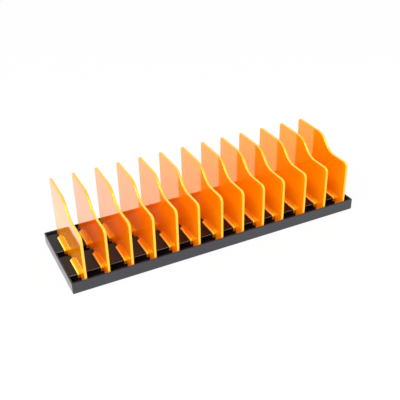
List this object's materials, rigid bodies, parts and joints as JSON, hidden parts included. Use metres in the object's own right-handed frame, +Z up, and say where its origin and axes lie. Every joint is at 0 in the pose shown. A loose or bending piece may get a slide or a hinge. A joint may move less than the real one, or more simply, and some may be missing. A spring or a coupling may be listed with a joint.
{
  "type": "plier rack",
  "caption": "Long shallow tray with two lengthwise rails and a row of upright stepped dividers that clip on and slide, so that pliers stand in the slots between them.",
  "frame": {"origin": "in the plane the rubber feet stand on, under the middle of the tray", "axes": "+X along the rack to its right end, +Y to its rear, where the dividers are high, +Z up"},
  "size_m": [0.4, 0.12, 0.0943],
  "materials": {
    "tray_plastic": "satin moulded black ABS",
    "rail_plastic": "smooth extruded black ABS",
    "divider_plastic": "high-gloss moulded orange ABS",
    "foot_rubber": "matt",
    "screw_steel": "zinc plated"
  },
  "bodies": {
    "base": {"base_tray": "tray_plastic", "front_rail": "rail_plastic", "rear_rail": "rail_plastic", "rail_screws": "screw_steel", "rubber_foot_1": "foot_rubber", "rubber_foot_2": "foot_rubber", "rubber_foot_3": "foot_rubber", "rubber_foot_4": "foot_rubber", "rubber_foot_5": "foot_rubber", "rubber_foot_6": "foot_rubber"},
    "divider_01": {"divider_01": "divider_plastic"},
    "divider_02": {"divider_02": "divider_plastic"},
    "divider_03": {"divider_03": "divider_plastic"},
    "divider_04": {"divider_04": "divider_plastic"},
    "divider_05": {"divider_05": "divider_plastic"},
    "divider_06": {"divider_06": "divider_plastic"},
    "divider_07": {"divider_07": "divider_plastic"},
    "divider_08": {"divider_08": "divider_plastic"},
    "divider_09": {"divider_09": "divider_plastic"},
    "divider_10": {"divider_10": "divider_plastic"},
    "divider_11": {"divider_11": "divider_plastic"},
    "divider_12": {"divider_12": "divider_plastic"},
    "divider_13": {"divider_13": "divider_plastic"}
  },
  "joints": [
    {"name": "divider_01_slide", "type": "slide", "parent": "base", "child": "divider_01", "axis": [1, 0, 0], "range_m": [-0.00994, 0.01048]},
    {"name": "divider_02_slide", "type": "slide", "parent": "base", "child": "divider_02", "axis": [1, 0, 0], "range_m": [-0.01048, 0.01108]},
    {"name": "divider_03_slide", "type": "slide", "parent": "base", "child": "divider_03", "axis": [1, 0, 0], "range_m": [-0.01108, 0.01083]},
    {"name": "divider_04_slide", "type": "slide", "parent": "base", "child": "divider_04", "axis": [1, 0, 0], "range_m": [-0.01083, 0.01128]},
    {"name": "divider_05_slide", "type": "slide", "parent": "base", "child": "divider_05", "axis": [1, 0, 0], "range_m": [-0.01128, 0.01083]},
    {"name": "divider_06_slide", "type": "slide", "parent": "base", "child": "divider_06", "axis": [1, 0, 0], "range_m": [-0.01083, 0.01208]},
    {"name": "divider_07_slide", "type": "slide", "parent": "base", "child": "divider_07", "axis": [1, 0, 0], "range_m": [-0.01208, 0.01113]},
    {"name": "divider_08_slide", "type": "slide", "parent": "base", "child": "divider_08", "axis": [1, 0, 0], "range_m": [-0.01113, 0.01103]},
    {"name": "divider_09_slide", "type": "slide", "parent": "base", "child": "divider_09", "axis": [1, 0, 0], "range_m": [-0.01103, 0.01098]},
    {"name": "divider_10_slide", "type": "slide", "parent": "base", "child": "divider_10", "axis": [1, 0, 0], "range_m": [-0.01098, 0.01283]},
    {"name": "divider_11_slide", "type": "slide", "parent": "base", "child": "divider_11", "axis": [1, 0, 0], "range_m": [-0.01283, 0.01268]},
    {"name": "divider_12_slide", "type": "slide", "parent": "base", "child": "divider_12", "axis": [1, 0, 0], "range_m": [-0.01268, 0.01208]},
    {"name": "divider_13_slide", "type": "slide", "parent": "base", "child": "divider_13", "axis": [1, 0, 0], "range_m": [-0.01208, 0.00964]}
  ]
}
